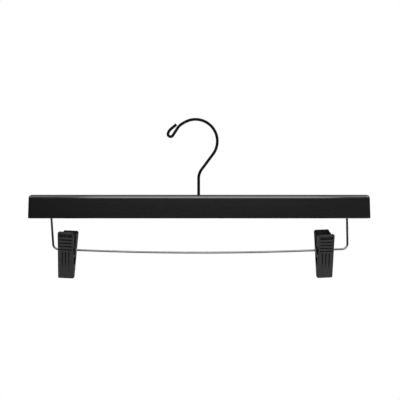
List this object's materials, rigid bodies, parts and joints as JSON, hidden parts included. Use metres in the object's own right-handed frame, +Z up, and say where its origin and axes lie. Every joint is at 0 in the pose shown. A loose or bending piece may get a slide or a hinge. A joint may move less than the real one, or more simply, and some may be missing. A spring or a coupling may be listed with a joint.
{
  "type": "trouser hanger",
  "caption": "Black wooden trouser hanger with a swivelling wire hook and two spring clips that slide on a bowed chrome wire bar.",
  "frame": {"origin": "top of the inside of the hook's bay, where the rod carries the hanger", "axes": "+X to the right along the rail, seen from the front; the front faces -Y; +Z up"},
  "size_m": [0.358, 0.0278, 0.1686],
  "materials": {
    "lacquered_wood": "satin black lacquer over wood",
    "black_steel": "steel wire with a black finish",
    "chrome_wire": "bright chromium plate on steel wire",
    "plated_steel": "zinc plated steel",
    "spring_steel": "drawn spring wire",
    "black_plastic": "moulded black plastic, satin",
    "pad_rubber": "moulded black rubber"
  },
  "bodies": {
    "hook": {"hook": "black_steel", "hook_nut": "plated_steel", "hook_washer": "plated_steel"},
    "rail": {"rail": "lacquered_wood", "clip_bar": "chrome_wire"},
    "left_slider": {"left_pivot_sleeve": "plated_steel"},
    "left_clip": {"left_spring": "spring_steel"},
    "left_front": {"left_front_jaw": "black_plastic", "left_front_pad": "pad_rubber"},
    "left_back": {"left_back_jaw": "black_plastic", "left_back_pad": "pad_rubber"},
    "right_slider": {"right_pivot_sleeve": "plated_steel"},
    "right_clip": {"right_spring": "spring_steel"},
    "right_front": {"right_front_jaw": "black_plastic", "right_front_pad": "pad_rubber"},
    "right_back": {"right_back_jaw": "black_plastic", "right_back_pad": "pad_rubber"}
  },
  "joints": [
    {"name": "rail_swivel", "type": "hinge", "parent": "hook", "child": "rail", "pos_m": [0.0033, 0, -0.07765], "axis": [0, 0, 1], "continuous": true},
    {"name": "left_slide", "type": "hinge", "parent": "rail", "child": "left_slider", "pos_m": [0.0039, 0, 2.86145], "axis": [0, -1, 0], "range_deg": [0, 2.44]},
    {"name": "left_swing", "type": "hinge", "parent": "left_slider", "child": "left_clip", "pos_m": [-0.13437, 0, -0.13536], "axis": [0.9989, 0, -0.0461], "continuous": true},
    {"name": "left_open", "type": "hinge", "parent": "left_clip", "child": "left_front", "pos_m": [-0.13437, 0, -0.13536], "axis": [-0.9989, 0, 0.0461], "range_deg": [0, 16], "stiffness_Nm_per_rad": 0.06, "springref_deg": -20.05, "deforming": ["left_spring"]},
    {"name": "left_open_back", "type": "hinge", "parent": "left_clip", "child": "left_back", "pos_m": [-0.13437, 0, -0.13536], "axis": [0.9989, 0, -0.0461], "range_deg": [0, 16]},
    {"name": "right_slide", "type": "hinge", "parent": "rail", "child": "right_slider", "pos_m": [0.0039, 0, 2.86145], "axis": [0, 1, 0], "range_deg": [-0.18, 2.3]},
    {"name": "right_swing", "type": "hinge", "parent": "right_slider", "child": "right_clip", "pos_m": [0.13509, 0, -0.13568], "axis": [0.999, 0, 0.0437], "continuous": true},
    {"name": "right_open", "type": "hinge", "parent": "right_clip", "child": "right_front", "pos_m": [0.13509, 0, -0.13568], "axis": [-0.999, 0, -0.0437], "range_deg": [0, 16], "stiffness_Nm_per_rad": 0.06, "springref_deg": -20.05, "deforming": ["right_spring"]},
    {"name": "right_open_back", "type": "hinge", "parent": "right_clip", "child": "right_back", "pos_m": [0.13509, 0, -0.13568], "axis": [0.999, 0, 0.0437], "range_deg": [0, 16]}
  ],
  "couplings": [
    {"joint": "left_open_back", "follows": "left_open", "ratio": 1},
    {"joint": "right_open_back", "follows": "right_open", "ratio": 1}
  ]
}
